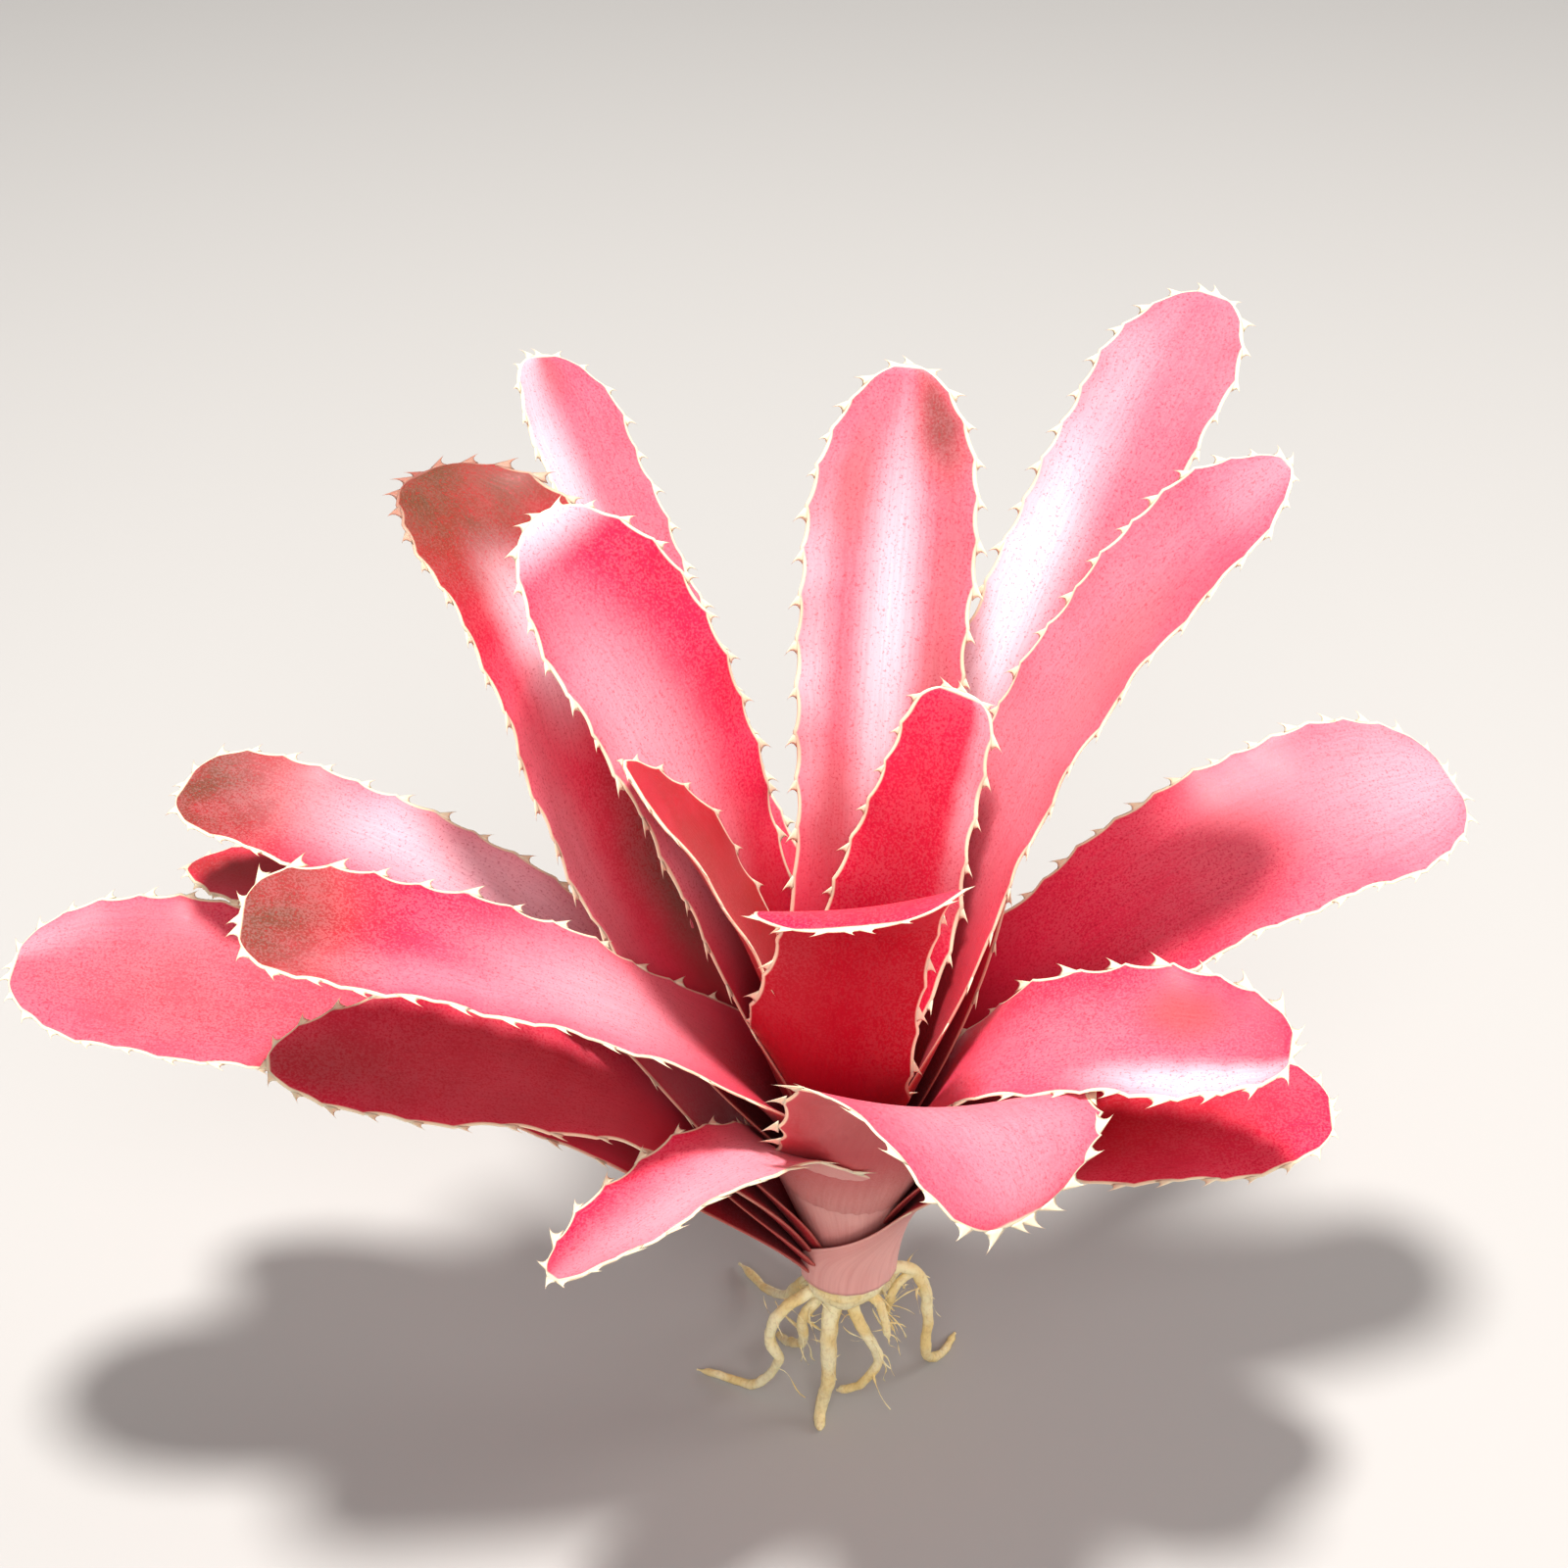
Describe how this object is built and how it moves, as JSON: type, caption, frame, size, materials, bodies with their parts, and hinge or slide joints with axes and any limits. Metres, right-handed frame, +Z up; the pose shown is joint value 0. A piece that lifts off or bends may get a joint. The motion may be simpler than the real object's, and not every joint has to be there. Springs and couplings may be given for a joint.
{
  "type": "bromeliad plant",
  "caption": "Small bare-root bromeliad: a rosette of red strap-shaped leaves with spined cream edges round a cup, on a short stem with a tuft of wiry roots that it stands on.",
  "frame": {"origin": "middle of the bounding box in X and Y, on the surface that the roots stand on", "axes": "+Z up through the cup; -Y towards the pictured front; +X to that front's right, along the widest spread of the leaves"},
  "size_m": [0.164, 0.1032, 0.1253],
  "materials": {
    "leaf": "waxy, semi-gloss living leaf with fine pale scales",
    "rootstock": "matte, fibrous"
  },
  "bodies": {
    "root": {"rootstock": "rootstock", "leaf_01": "leaf", "leaf_02": "leaf", "leaf_03": "leaf", "leaf_04": "leaf", "leaf_05": "leaf", "leaf_06": "leaf", "leaf_07": "leaf", "leaf_08": "leaf", "leaf_09": "leaf", "leaf_10": "leaf", "leaf_11": "leaf", "leaf_12": "leaf", "leaf_13": "leaf", "leaf_14": "leaf", "leaf_15": "leaf", "leaf_16": "leaf", "leaf_17": "leaf", "leaf_18": "leaf", "leaf_19": "leaf"}
  },
  "joints": []
}
